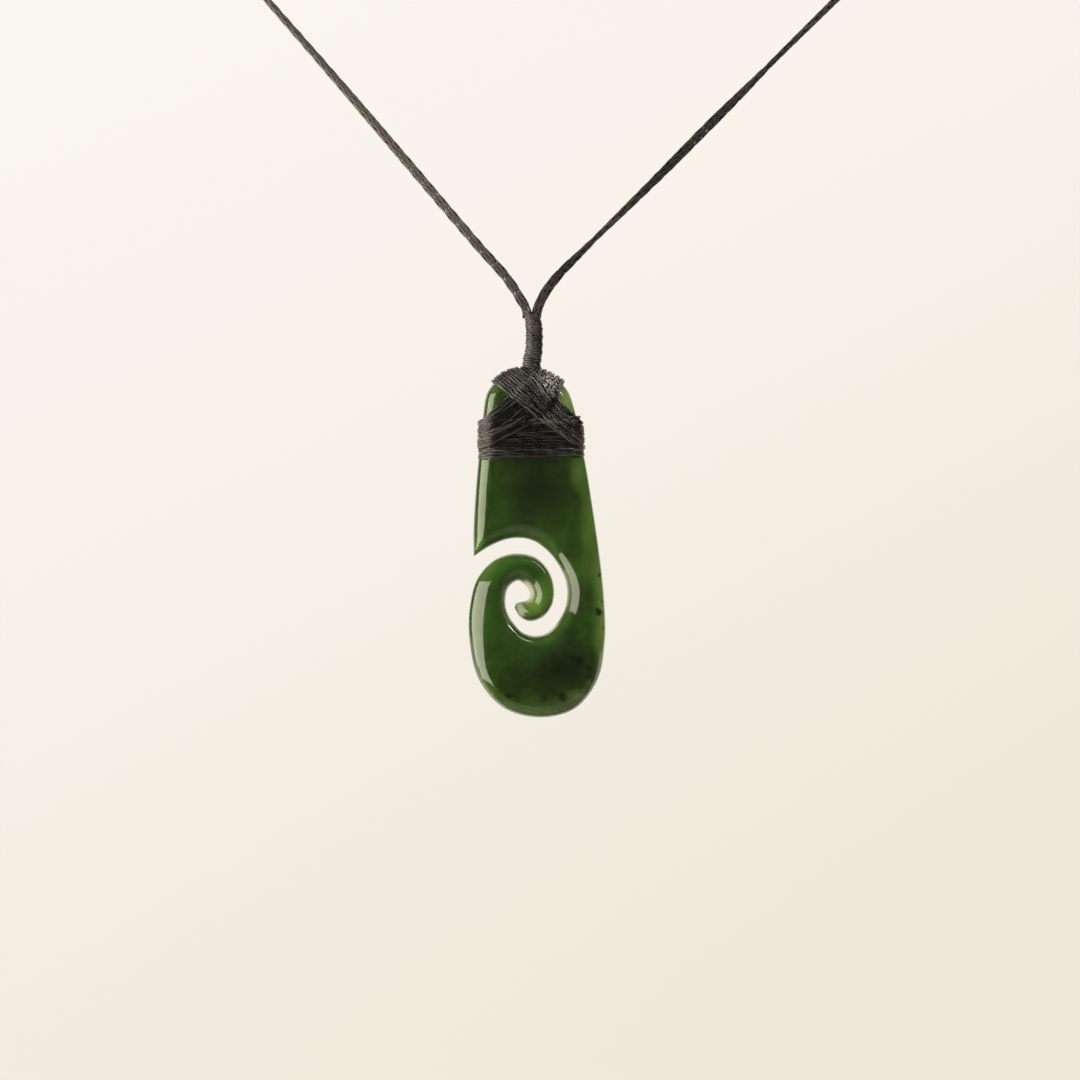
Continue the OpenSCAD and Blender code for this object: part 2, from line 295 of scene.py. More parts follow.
def makeCord(finish):
    loop, wide, (leftLength, neckLength, rightLength), lines = cordLoop()
    tree = braidTree()
    total = leftLength + neckLength + rightLength
    ends = {"leftStrand": (0, leftLength), "neckStretch": (leftLength, leftLength + neckLength),
            "rightStrand": (leftLength + neckLength, total)}
    made = {}
    for name, (start, stop) in ends.items():
        made[name] = grow(name, pathMesh(name + "Line", [loop], wideAxis=wide), tree, {
            "Lay Length": braid["layLength"] * mm, "Yarn Radius": braid["yarnRadius"] * mm,
            "Mean Radius": braid["meanRadius"] * mm, "Flatness": braid["flatness"] * mm,
            "Weave Depth": braid["weaveDepth"] * mm, "Core Radius": braid["coreRadius"] * mm,
            "Step": braid["step"] * mm, "From": (start - braid["step"] / 2) * mm,
            "To": (stop + braid["step"] / 2) * mm, "Yarn Sides": braid["yarnSides"],
            "Yarns": braid["yarns"], "Seed": braid["seed"], "Finish": finish})
    for name, node, line, length in (("leftStrand", "cord_left", lines[0], leftLength),
                                     ("rightStrand", "cord_right", lines[2], rightLength)):
        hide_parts(node)
    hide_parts("neck_cord")
    for piece in made.values():
        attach(piece, "root")
    print("cord plaited:", {name: len(piece.data.polygons) for name, piece in made.items()})


stoneSections = [  # columns: outer edge x, outer edge z, inner edge x, inner edge z
    (-8.65, -35.0, -8.65, -35.0), (-8.7, -32.6, -7.4, -34.2), (-8.45, -27.0, -6.2, -33.5),
    (-7.97, -21.2, -5.1, -33.0), (-7.93, -20.8, -4.6, -32.8), (-7.35, -15.0, -3.9, -32.6),
    (-6.5, -11.2, -3.2, -32.45), (-4.4, -9.1, -2.6, -32.4), (-1.2, -8.3, -2.0, -32.4),
    (2.1, -9.0, -1.4, -32.45), (4.5, -10.8, -0.7, -32.6), (6.0, -14.6, 0.0, -32.85),
    (7.22, -20.8, 0.5, -33.1), (7.3, -21.2, 1.0, -33.45), (8.5, -28.5, 2.0, -34.3),
    (9.5, -35.5, 3.3, -35.9), (10.1, -41.5, 4.6, -38.7), (10.2, -47.0, 4.5, -42.3),
    (8.9, -53.2, 3.0, -44.9), (5.8, -56.9, 1.4, -46.2), (0.8, -58.1, 0.0, -46.4),
    (-4.4, -56.7, -1.6, -45.9), (-7.8, -52.9, -2.9, -44.6), (-9.2, -47.5, -3.9, -42.8),
    (-9.2, -42.2, -4.1, -40.9), (-8.0, -38.0, -3.7, -39.5), (-5.6, -35.5, -3.0, -38.8),
    (-2.5, -34.6, -2.2, -38.5), (0.3, -35.2, -1.4, -39.0), (2.1, -37.1, -0.8, -39.8),
    (2.9, -39.8, -0.6, -40.5), (2.5, -42.2, -1.0, -41.3), (1.0, -43.9, -1.7, -41.5),
    (-0.8, -44.3, -2.2, -41.6), (-2.1, -43.6, -2.6, -41.8), (-2.8, -42.4, -2.8, -42.4)]
stone = {
    "headThickness": 4.8, "footThickness": 5.6, "top": -8.1, "foot": -58.1,
    "crown": 0.25, "crownReach": 5, "rimWidth": 2.1, "rimShare": 0.4,
    "seatDepth": 0.5, "seatFoot": -20.88, "seatFull": -20.75, "seatTop": -14.5,
    "seatSlope": 0.03, "rowSteps": 12, "rimSteps": 12, "faceSteps": 9,
    "headRows": (2, 8, 14),  # the rows of the head's left foot, its top and its right foot
    # columns: row of the table above, and the width there of the bevel along that edge
    "slotBevel": [(0, 1.8), (8, 2.7), (10, 2.9), (12, 2.6), (13, 2.8), (14.5, 2.8), (15.5, 2.6),
                  (17.1, 2.9), (17.6, 1.5), (18.3, 1.3), (20, 1.3), (23.5, 1.1), (25, 2.0),
                  (28, 2.3), (31, 2.3), (35, 2.1)],
    "outerBevel": [(0, 1.8), (3.5, 1.8), (4.5, 1.3), (6.5, 1.4), (8, 2.1), (20, 2.1), (21.5, 1.7),
                   (22.3, 1.9), (23, 2.5), (23.7, 3.0), (25.8, 3.0), (27.8, 0.9), (31, 0.9),
                   (33, 1.6), (35, 2.1)],
    # columns: row, share of the slot's bevel that is a sloping shoulder behind a tighter edge
    "slotShoulder": [(12, 0), (13, 0.25), (14.5, 1), (17.1, 1), (17.6, 0)],
    "shoulderWidth": 0.8, "shoulderFall": 0.39,
}


def halfThickness(z):
    share = (stone["top"] - z) / (stone["top"] - stone["foot"])
    return (stone["headThickness"] * (1 - share) + stone["footThickness"] * share) / 2


def withSeat(edge, foot):  # the sides stand back under the lashing, from the seat's foot up
    z = edge[:, 1] - stone["seatSlope"] * edge[:, 0]
    depth = stone["seatDepth"] * np.clip(np.minimum(
        (z - foot) / (stone["seatFull"] - stone["seatFoot"]),
        (stone["seatTop"] - z) / (stone["seatTop"] - stone["seatFull"])), 0, 1)
    return np.stack([edge[:, 0] - np.sign(edge[:, 0]) * depth, edge[:, 1]], 1)


def headings(edge):
    along = np.gradient(edge, axis=0)
    return along / np.linalg.norm(along, axis=1)[:, None]


def nearest(spots, line):  # how far each spot lies from a line
    a, b = line[None, :-1], line[None, 1:]
    spot = spots[:, None, :]
    share = np.clip(((spot - a) * (b - a)).sum(2) / np.maximum(((b - a) ** 2).sum(2), 1e-9), 0, 1)
    return np.linalg.norm(spot - a - (b - a) * share[..., None], axis=2).min(1)


def bevelRise(depth, reach, shoulder=0.0):  # from 0 at the edge to 1 where the face begins
    tight = reach * (1 - stone["shoulderWidth"] * shoulder)
    edge = np.sqrt(1 - (1 - np.clip(depth / tight, 0, 1)) ** 2)
    return edge * (1 - stone["shoulderFall"] * shoulder * (1 - np.clip(depth / reach, 0, 1)) ** 2)


# one section of the stone, and how far each of its points lies from the nearer edge
def stoneRing(side, outer, inner, outerIn, innerIn, bevels, edges):
    width = np.linalg.norm(outer - inner)
    rim, innerRim = (min(bevel, stone["rimShare"] * min(width, *nearest(spot[None], edge)))
                     for bevel, spot, edge in zip(bevels, (outer, inner), edges[::-1]))
    turn = 1 - np.cos(np.linspace(0, math.pi / 2, stone["rimSteps"] + 1))
    inset, innerInset = rim * turn, innerRim * turn[::-1]
    start, stop = outer + outerIn * rim, inner + innerIn * innerRim
    share = (1 - np.cos(np.linspace(0, math.pi, stone["faceSteps"] + 1)[1:-1])) / 2
    flat = np.concatenate([
        side + (start - side) * turn[:, None], start + (stop - start) * share[:, None],
        inner + innerIn * innerInset[:, None]])
    fromOuter, fromInner = (nearest(flat, edge) for edge in edges)
    depth = np.minimum(fromOuter, fromInner)
    fromOuter[:len(inset)], fromInner[-len(inset):] = inset, innerInset
    bulge = 1 - (1 - np.clip(depth / min(width / 2, stone["crownReach"]), 0, 1)) ** 2
    rise = bevelRise(fromOuter, bevels[0]) * bevelRise(fromInner, bevels[1], bevels[2])
    half = (halfThickness(flat[:, 1]) - stone["crown"] + stone["crown"] * bulge) * rise
    front = np.stack([flat[:, 0], -half, flat[:, 1]], 1)
    back = np.stack([flat[:, 0], half, flat[:, 1]], 1)[::-1][1:-1]
    return np.concatenate([front, back]), np.concatenate([depth, depth[::-1][1:-1]])


def makeStone(finish):
    outer = smoothLine([row[:2] for row in stoneSections], stone["rowSteps"])
    inner = smoothLine([row[2:] for row in stoneSections], stone["rowSteps"])
    outerWay, innerWay = headings(outer), headings(inner)
    edges = outer, inner
    side = withSeat(outer, stone["seatFoot"])
    rows = np.arange(len(outer)) / stone["rowSteps"]
    bevels = np.stack([np.interp(rows, *zip(*stone[name]))
                       for name in ("outerBevel", "slotBevel", "slotShoulder")], 1)
    points, depths = [], []
    for i in range(1, len(outer) - 1):
        ring, depth = stoneRing(
            side[i], outer[i], inner[i], np.array([outerWay[i][1], -outerWay[i][0]]),
            np.array([-innerWay[i][1], innerWay[i][0]]), bevels[i], edges)
        points.append(ring)
        depths.append(depth)
    count, size = len(points), len(points[0])
    faces = [(i * size + k, i * size + (k + 1) % size, (i + 1) * size + (k + 1) % size,
              (i + 1) * size + k) for i in range(count - 1) for k in range(size)]
    horn, bulb, last = count * size, count * size + 1, (count - 1) * size
    faces += [(horn, (k + 1) % size, k) for k in range(size)]
    faces += [(bulb, last + k, last + (k + 1) % size) for k in range(size)]
    tips = [(outer[0][0], 0, outer[0][1]), (outer[-1][0], 0, outer[-1][1])]
    places = (np.concatenate(points + [np.array(tips)]) + parting) * mm
    mesh = bpy.data.meshes.new("polishedDrop")
    mesh.from_pydata([tuple(p) for p in places], [], faces)
    mesh.attributes.new("rimDepth", "FLOAT", "POINT").data.foreach_set(
        "value", np.concatenate(depths + [np.zeros(2)]))
    work = bmesh.new()
    work.from_mesh(mesh)
    bmesh.ops.recalc_face_normals(work, faces=work.faces)
    work.to_mesh(mesh)
    work.free()
    mesh.shade_smooth()
    mesh.materials.append(finish)
    drop = newObject("polishedDrop", mesh)
    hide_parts("greenstone_drop")
    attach(drop, "root")
    print("stone lofted:", len(faces), "faces")


thread = {"plies": 3, "plyRadius": 0.115, "plyOffset": 0.115, "twistLength": 5.8, "sides": 6,
          "step": 0.26, "radius": 0.225, "gap": 0.12, "wander": 0.16,
          "beddingRadius": 0.13, "beddingStep": 0.5, "proud": 0.1, "seed": 3,
          "lineSteps": 8, "searchSteps": 400, "faceSteps": 120, "windingSeed": 11}
bandWinding = {"turns": 13, "foot": -20.66, "top": -15.6, "rise": 0.03, "riseWander": 0.02,
               "wander": 0.04, "bowLength": 4, "across": (-10, -5, 0, 5, 10)}
crossWinding = {
    "threads": 12, "lap": 0.36, "sideLap": 0.12, "sideFrom": 6.2, "sideTo": 8,
    "bandBlend": 0.4, "strapBlend": 0.3,  # how gently a strap climbs onto what it crosses
    # each strap's upper and lower edge, as x and z from the parting, from its shoulder down
    "leftUpper": [(-3.4, -6.0), (-1.5, -7.7), (0.7, -9.4), (2.85, -12.3), (5.45, -15.0),
                  (7.6, -16.3), (9.5, -16.6)],
    "leftLower": [(-7.8, -8.3), (-5.6, -10.1), (-3.1, -12.3), (-0.6, -14.2), (3.2, -17.2),
                  (6.6, -19.3), (9.5, -19.9)],
    "rightUpper": [(1.6, -5.6), (0.1, -7.9), (-1.3, -9.9), (-3.5, -12.2), (-6.0, -14.4),
                   (-7.7, -15.5), (-9.5, -15.8)],
    "rightLower": [(5.3, -8.0), (4.3, -9.9), (2.9, -12.5), (0.2, -15.2), (-3.4, -17.6),
                   (-6.9, -19.2), (-9.5, -19.6)],
}
stemWinding = {
    "pitch": 0.37, "slant": 0.28, "topSlant": 0.5, "slantReach": 1.8, "steps": 600,
    "coreRadius": 0.9, "coreSides": 20, "lump": 0.05, "lumpWaves": (8.3, 2.9), "lumpShift": 1,
    # columns: height from the parting, sideways place of the axis, radius of the winding
    "axis": [(-0.3, -0.35, 1.08), (-1.5, -0.07, 1.1), (-3.0, 0.06, 1.07), (-5.5, 0.0, 1.07),
             (-7.2, -0.33, 1.14), (-8.7, -0.4, 1.18)],
}


def headEdge():
    edge = smoothLine([row[:2] for row in stoneSections], stone["rowSteps"])
    first, top, last = (row * stone["rowSteps"] for row in stone["headRows"])
    return withSeat(edge, stone["foot"])[first:last + 1], top - first


def edgeDistance(x, z):  # how far inside the head's outline a point lies
    edge, top = headEdge()
    away = nearest(np.stack([x, z], 1), edge)
    left = np.interp(z, edge[:top + 1, 1], edge[:top + 1, 0])
    right = np.interp(z, edge[top:, 1][::-1], edge[top:, 0][::-1])
    inside = (x > left) & (x < right) & (z < edge[top, 1])
    return np.where(inside, away, -away)


def lashedLoop(line, off):  # wraps a line drawn on the head's face right round it
    at = np.linspace(0, 1, thread["searchSteps"])
    s = runLength(line) / runLength(line)[-1]

    def spot(u):
        return np.interp(u, s, line[:, 0]), np.interp(u, s, line[:, 1])

    x, z = spot(at)
    on = np.flatnonzero(edgeDistance(x, z) + off(x, z) > 0)
    low, high = at[on[0]], at[on[-1]]
    swing = np.cos(np.linspace(0, math.pi, thread["faceSteps"]))
    x, z = spot((low + high) / 2 - (high - low) / 2 * swing)
    grown = off(x, z)
    share = np.clip((edgeDistance(x, z) + grown) / (stone["rimWidth"] + grown), 0, 1)
    y = (halfThickness(z) + grown) * np.sqrt(1 - (1 - share) ** 2)
    front = np.stack([x, -y, z], 1)
    back = np.stack([x, y, z], 1)[::-1][1:-1]
    loop = np.concatenate([front, back, front[:1]])
    return evenly(loop, thread["step"])[:-1] + parting


def plyTree():
    tree, given, path = newTree("twistedThread", (
        "Ply Radius", "Ply Offset", "Twist Length", "Step"), ("Plies", "Sides", "Seed"))
    plies = put(tree, "GeometryNodeDuplicateElements", {"domain": "SPLINE"},
                {"Geometry": path, "Amount": given["Plies"]})
    along = put(tree, "GeometryNodeSplineParameter")
    whole = put(tree, "GeometryNodeSplineLength")
    value = dict(given.items(), factor=along.outputs["Factor"], whole=whole.outputs["Length"],
                 index=plies.outputs["Duplicate Index"])
    # a whole number of twists, so that a closed turn of thread meets itself
    sums = [("twists", "DIVIDE", "whole", "Twist Length"), ("wholeTwists", "ROUND", "twists"),
            ("part", "DIVIDE", "index", "Plies"),
            ("turns", "MULTIPLY_ADD", "factor", "wholeTwists", "part"),
            ("tilt", "MULTIPLY", "turns", math.tau)]
    for name, operation, *terms in sums:
        node = put(tree, "ShaderNodeMath", {"operation": operation},
                   {i: value.get(term, term) for i, term in enumerate(terms)})
        value[name] = node.outputs[0]
    toned = layStrands(tree, given, plies.outputs[0], value["tilt"], given["Ply Offset"])
    ring = put(tree, "GeometryNodeCurvePrimitiveCircle",
               inputs={"Resolution": given["Sides"], "Radius": given["Ply Radius"]})
    body = put(tree, "GeometryNodeCurveToMesh",
               inputs={"Curve": toned, "Profile Curve": ring.outputs[0], "Fill Caps": True})
    dressTree(tree, body.outputs[0], given["Finish"])
    return tree


def bandCover(z):  # 1 where the level band lies under a strap
    top, blend = bandWinding["top"], crossWinding["bandBlend"]
    return smoothStep(top + blend, top - blend, z)


def strapCover(x, z):  # 1 where the right shoulder's strap lies under the left one's
    upper, lower = (smoothLine(crossWinding[name], thread["lineSteps"])
                    for name in ("rightUpper", "rightLower"))
    high = np.interp(x, upper[::-1, 0], upper[::-1, 1])
    low = np.interp(x, lower[::-1, 0], lower[::-1, 1])
    blend = crossWinding["strapBlend"]
    return smoothStep(-blend, blend, high - z) * smoothStep(-blend, blend, z - low)


def windingLoops(chance, base, between):  # the turns, or the bedding that fills the gaps between
    b, c = bandWinding, crossWinding
    band, cross = [], []

    def lap(x):  # a strap sinks between the band's turns at the sides
        aside = smoothStep(c["sideFrom"], c["sideTo"], abs(x))
        return c["lap"] + (c["sideLap"] - c["lap"]) * aside

    for i in np.arange(b["turns"] - 2 * between) + between:
        share = i / (b["turns"] - 1)
        z = b["foot"] + (b["top"] - b["foot"]) * share
        rise = b["rise"] * (1 + share) + chance.uniform(-1, 1) * b["riseWander"]
        bow = chance.uniform(-1, 1) * b["wander"]
        line = [(x, z + rise * x + bow * math.cos(x / b["bowLength"])) for x in b["across"]]
        lift = base + chance.uniform(0, 1) * thread["proud"] * (not between)
        band.append(lashedLoop(smoothLine(line, thread["lineSteps"]),
                               lambda x, z: np.full(len(x), lift)))
    for side in ("right", "left"):
        edges = list(zip(c[side + "Upper"], c[side + "Lower"]))
        for i in np.arange(c["threads"] - 2 * between) + between:
            share = i / (c["threads"] - 1)
            line = [tuple(u + (v - u) * share + chance.uniform(-1, 1) * thread["wander"]
                          for u, v in zip(high, low)) for high, low in edges]
            lift = base + chance.uniform(0, 1) * thread["proud"] * (not between)
            under = ((lambda x, z: lift + lap(x) * bandCover(z)) if side == "right" else
                     (lambda x, z: lift + lap(x) * np.maximum(bandCover(z), strapCover(x, z))))
            cross.append(lashedLoop(smoothLine(line, thread["lineSteps"]), under))
    return band, cross


def stemLines():
    s = stemWinding
    heights, places, radii = np.array(s["axis"])[::-1].T
    top, foot = heights[-1], heights[0]
    a = np.linspace(0, (top - foot) / s["pitch"] * math.tau, s["steps"])
    z = foot + (top - foot) * a / a[-1]
    slant = s["slant"] + (s["topSlant"] - s["slant"]) * smoothStep(top - s["slantReach"], top, z)
    middle, radius = np.interp(z, heights, places), np.interp(z, heights, radii)
    quick, slow = s["lumpWaves"]
    radius = radius + s["lump"] * np.sin(quick * z) * np.sin(slow * z + s["lumpShift"])
    x, y = radius * np.cos(a), radius * np.sin(a)
    helix = np.stack([x + middle, y, z - slant * x], 1) + parting
    core = np.stack([places, np.zeros(len(places)), heights], 1) + parting
    return helix, core


def joined(name, parts):
    work = bmesh.new()
    for part in parts:
        work.from_mesh(part.data)
    mesh = bpy.data.meshes.new(name)
    work.to_mesh(mesh)
    work.free()
    mesh.materials.append(parts[0].data.materials[0])
    for part in parts:
        bpy.data.objects.remove(part)
    return newObject(name, mesh)


def makeLashing(finish):
    chance = random.Random(thread["windingSeed"])
    tree = plyTree()
    band, cross = windingLoops(chance, thread["gap"] + thread["radius"], 0)
    bandBed, crossBed = windingLoops(chance, thread["gap"] + thread["beddingRadius"], 0.5)
    helix, core = stemLines()
    twisted = {"Ply Radius": thread["plyRadius"] * mm, "Ply Offset": thread["plyOffset"] * mm,
               "Twist Length": thread["twistLength"] * mm, "Step": thread["step"] * mm,
               "Plies": thread["plies"], "Sides": thread["sides"], "Seed": thread["seed"],
               "Finish": finish}
    plain = dict(twisted, **{"Ply Offset": 0.0, "Plies": 1, "Step": thread["beddingStep"] * mm,
                             "Ply Radius": thread["beddingRadius"] * mm})
    thick = dict(plain, **{"Ply Radius": stemWinding["coreRadius"] * mm,
                           "Sides": stemWinding["coreSides"]})
    for name, node, lines, closed, under, inner in (
            ("bandThreads", "band_lashing", band, True, bandBed, plain),
            ("crossThreads", "cross_lashing", cross, True, crossBed, plain),
            ("stemThreads", "stem_whipping", [helix], False, [core], thick)):
        piece = joined(name, [
            grow(name + "Turns", pathMesh(name + "Line", lines, closed), tree, twisted),
            grow(name + "Bed", pathMesh(name + "BedLine", under, closed), tree, inner)])
        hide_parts(node)
        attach(piece, "root")
        print(name, "wound:", len(piece.data.polygons), "faces")


studio = {
    "paper": "#f8f2ea", "paperTop": "#faf6f2", "paperLow": "#efe8da",
    "floor": -420, "width": 4000, "front": 60, "sweepStart": 1500, "sweepRadius": 900,
    "sweepSteps": 12, "wall": 3500,
    "air": 0.06, "aimBelow": 35,
    # in metres: heights that the shade runs between, its lean sideways, and the fades to plain
    # paper at the sides and in front
    "shade": (-0.5, 0.35), "sideSlope": -0.5, "sideFade": (1.9, 0.7), "frontFade": (0.1, 1.6),
}
lamps = {
    # columns: ends of its long middle line from the pendant, width, power in watts, colour, and
    # whether it shows in glossy surfaces
    "leftSoftbox": ((-929, 375, -20), (-617, -789, -20), 980, 17.5, "#fff4e6", True),
    "rightTube": ((650, -274, 370), (190, -274, 720), 60, 3, "#fff8ee", True),
    "rightFill": ((954, -147, 0), (604, -753, 0), 700, 0.75, "#fff8ee", False),
    "underGlow": ((-300, -125, -450), (900, -125, -450), 750, 1.0, "#fff0dc", True),
}


def paperFinish():  # matt seamless paper, lit evenly, so it has no shadows of its own
    s = studio
    paper, tree = newFinish("seamlessPaper")
    here = put(tree, "ShaderNodeTexCoord")
    split = put(tree, "ShaderNodeSeparateXYZ", inputs={0: here.outputs["Object"]})
    slope = put(tree, "ShaderNodeMath", {"operation": "MULTIPLY_ADD"},
                {0: split.outputs["X"], 1: s["sideSlope"], 2: split.outputs["Z"]})
    share = put(tree, "ShaderNodeMapRange", inputs={
        "Value": slope.outputs[0], "From Min": s["shade"][0], "From Max": s["shade"][1]})
    ramp = put(tree, "ShaderNodeValToRGB", inputs={"Fac": share.outputs[0]})
    ramp.color_ramp.elements[0].color = linear(s["paperLow"])
    ramp.color_ramp.elements[1].color = linear(s["paperTop"])
    ramp.color_ramp.elements.new(0.5).color = linear(s["paper"])
    aside = put(tree, "ShaderNodeMath", {"operation": "ABSOLUTE"}, {0: split.outputs["X"]})
    fades = [put(tree, "ShaderNodeMapRange", {"interpolation_type": "SMOOTHSTEP"}, {
        "Value": value, "From Min": s[fade][0], "From Max": s[fade][1]}).outputs[0]
        for value, fade in ((aside.outputs[0], "sideFade"), (split.outputs["Y"], "frontFade"))]
    inside = put(tree, "ShaderNodeMath", {"operation": "MULTIPLY"}, dict(enumerate(fades)))
    faded = put(tree, "ShaderNodeMix", {"data_type": "RGBA"}, {  # the paper's edges don't show
        "Factor": inside.outputs[0], "A": linear(s["paper"]), "B": ramp.outputs[0]})
    glow = put(tree, "ShaderNodeEmission", inputs={
        "Color": faded.outputs["Result"], "Strength": 1})
    put(tree, "ShaderNodeOutputMaterial", inputs={"Surface": glow.outputs[0]})
    return paper


def hangPaper():
    s = studio
    profile = [(s["front"], s["floor"]), (s["sweepStart"], s["floor"])]
    for i in range(1, s["sweepSteps"] + 1):
        a = math.pi / 2 * i / s["sweepSteps"]
        profile.append((s["sweepStart"] + s["sweepRadius"] * math.sin(a),
                        s["floor"] + s["sweepRadius"] * (1 - math.cos(a))))
    profile.append((profile[-1][0], s["wall"]))
    sides = -s["width"] / 2, s["width"] / 2
    points = [(x * mm, y * mm, z * mm) for y, z in profile for x in sides]
    faces = [(2 * i, 2 * i + 1, 2 * i + 3, 2 * i + 2) for i in range(len(profile) - 1)]
    mesh = bpy.data.meshes.new("paperSweep")
    mesh.from_pydata(points, [], faces)
    mesh.shade_smooth()
    mesh.materials.append(paperFinish())
    newObject("paperSweep", mesh)


def placeLamps():
    aim = Vector(parting - np.array([0, 0, studio["aimBelow"]]))
    for name, (end, otherEnd, width, power, colour, inGloss) in lamps.items():
        light = bpy.data.lights.new(name, "AREA")
        light.shape = "RECTANGLE"
        run = Vector(otherEnd) - Vector(end)
        light.size, light.size_y = run.length * mm, width * mm
        light.energy = power
        light.color = linear(colour)[:3]
        lamp = newObject(name, light)
        middle = (Vector(end) + Vector(otherEnd)) / 2
        across = run.normalized()
        away = (middle - across * middle.dot(across)).normalized()
        turn = Matrix((across, away.cross(across), away)).transposed()
        lamp.matrix_world = Matrix.Translation((aim + middle) * mm) @ turn.to_4x4()
        lamp.visible_camera, lamp.visible_glossy = False, inGloss


def fillAir():  # as pale as the paper to the camera, and a faint fill for the rest
    s = studio
    world = bpy.data.worlds.new("studioAir")
    bpy.context.scene.world = world
    world.use_nodes = True
    tree = world.node_tree
    tree.nodes.clear()
    path = put(tree, "ShaderNodeLightPath")
    dim, pale = (put(tree, "ShaderNodeBackground", inputs={
        "Color": linear(s["paper"]), "Strength": strength}) for strength in (s["air"], 1))
    either = put(tree, "ShaderNodeMixShader",
                 inputs={0: path.outputs["Is Camera Ray"], 1: dim.outputs[0], 2: pale.outputs[0]})
    put(tree, "ShaderNodeOutputWorld", inputs={"Surface": either.outputs[0]})


def makeStudio():
    hangPaper()
    placeLamps()
    fillAir()
    view = bpy.context.scene.view_settings
    view.view_transform, view.look = "Standard", "None"
    print("studio lit")


def newFinish(name):
    finish = bpy.data.materials.new(name)
    finish.use_nodes = True
    finish.node_tree.nodes.clear()
    return finish, finish.node_tree


def perMetre(millimetres):  # a texture scale whose pattern repeats about that often
    return 1 / (millimetres * mm)


def patchFade(tree, where, place, reach, core, strength):  # an oval patch with a soft edge
    centre = (parting + np.array([place[0], 0, place[1]])) * mm
    offset = put(tree, "ShaderNodeVectorMath", {"operation": "SUBTRACT"},
                 {0: where, 1: tuple(centre)})
    scaled = put(tree, "ShaderNodeVectorMath", {"operation": "MULTIPLY"},
                 {0: offset.outputs[0], 1: (1 / (reach[0] * mm), 0, 1 / (reach[1] * mm))})
    away = put(tree, "ShaderNodeVectorMath", {"operation": "LENGTH"}, {0: scaled.outputs[0]})
    fade = put(tree, "ShaderNodeMapRange", {"interpolation_type": "SMOOTHSTEP"}, {
        "Value": away.outputs["Value"], "From Min": 1, "From Max": core, "To Max": strength})
    return fade.outputs[0]


# patches of the stone's own colour, with painted glow on the right and painted shade under the
# band, on the left and below the slot; columns: x and z from the parting, reach across and up,
# colour, strength
stoneTintsAndPaintedLight = {
    "darkHeart": (0.6, -25.4, 10.0, 8.6, "#1b2a14", 0.95),
    # painted shade under the lashing band
    "underBand": (-0.5, -21.0, 6.5, 3.0, "#1f3017", 0.6),
    # painted shade: the left flank is darkened against the left lamp's light
    "leftFlank": (-6.2, -25.5, 1.8, 7.0, "#31501a", 0.8),
    # painted glow of light shining through the thin right flank
    "rightFlank": (8.2, -29.5, 2.8, 11.5, "#6c8c3a", 0.75),
    "rightMiddle": (5.1, -28.5, 1.7, 6.0, "#305219", 0.5),
    # painted glow at the right corner below the band
    "rightCorner": (6.5, -22.8, 2.2, 3.6, "#6f8f44", 0.65),
    # painted light: the right window is made paler than its lighting gives
    "rightWindow": (4.6, -12.8, 2.6, 3.8, "#a3b676", 0.9),
    # painted shade: the left window is darkened against the left lamp's light
    "leftWindow": (-5.2, -12.6, 2.4, 3.4, "#3b5626", 0.85),
    "hornTip": (-7.9, -33.2, 2.0, 2.0, "#4a7026", 0.8),
    "curlTop": (-3.5, -36.8, 4.5, 2.6, "#335a20", 0.8),
    "curlSide": (1.8, -39.5, 2.4, 3.4, "#5b7d30", 0.75),
    "bulb": (0.2, -41.9, 2.6, 2.4, "#769843", 0.8),
    "leftLimb": (-6.2, -44.0, 2.6, 7.0, "#3a5b1d", 0.7),
    "footHeart": (3.8, -51.2, 9.0, 5.4, "#192512", 0.95),
    "footEdge": (2.0, -57.2, 8.0, 2.7, "#5f7a3c", 0.5),
    # painted glow of backlight through the thin right edge
    "rightEdge": (9.9, -42.0, 2.3, 14.0, "#8ba857", 0.95),
    "footRight": (6.3, -55.4, 2.8, 1.9, "#7d9450", 0.5),
    # painted shade that damps the glow of light through the thin stone below the slot
    "slotFoot": (3.6, -45.9, 3.4, 2.4, "#22381a", 0.6),
}
# painted reflections, highlights, sheen and shade on the stone's walls and rims
paintedWallLightAndShade = {  # the last column is how far in from the edge it shows
    # painted shade: dark lines along the left rim and the left limb's rim
    "leftRim": (-7.8, -22.0, 4.0, 20.0, "#262e15", 0.95, 0.6),
    "limbRim": (-9.3, -46.0, 3.0, 14.0, "#262e15", 0.95, 0.55),
    # painted sheen along the lower left edge
    "limbFoot": (-8.2, -53.6, 2.6, 4.0, "#5a6238", 0.7, 0.6),
    # painted reflections of the bright backdrop and left lamp on the walls of the eye and below
    # the bulb
    "eyeWall": (-0.85, -40.0, 1.3, 2.4, "#e6e8cf", 0.9, 1.0),
    "bulbWall": (-2.6, -43.0, 1.5, 2.2, "#d3dabd", 0.9, 1.5),
    "slotShade": (-1.6, -45.2, 3.4, 1.8, "#14180c", 0.9, 0.35),
    # painted reflection on the slot's outer right wall
    "slotWall": (4.7, -38.8, 0.8, 5.0, "#9fa888", 0.8, 0.8),
    # painted highlight along the slot's lower right edge
    "slotEdgeHighlight": (2.4, -45.4, 2.4, 1.2, "#cfd0b8", 0.9, 0.4),
}
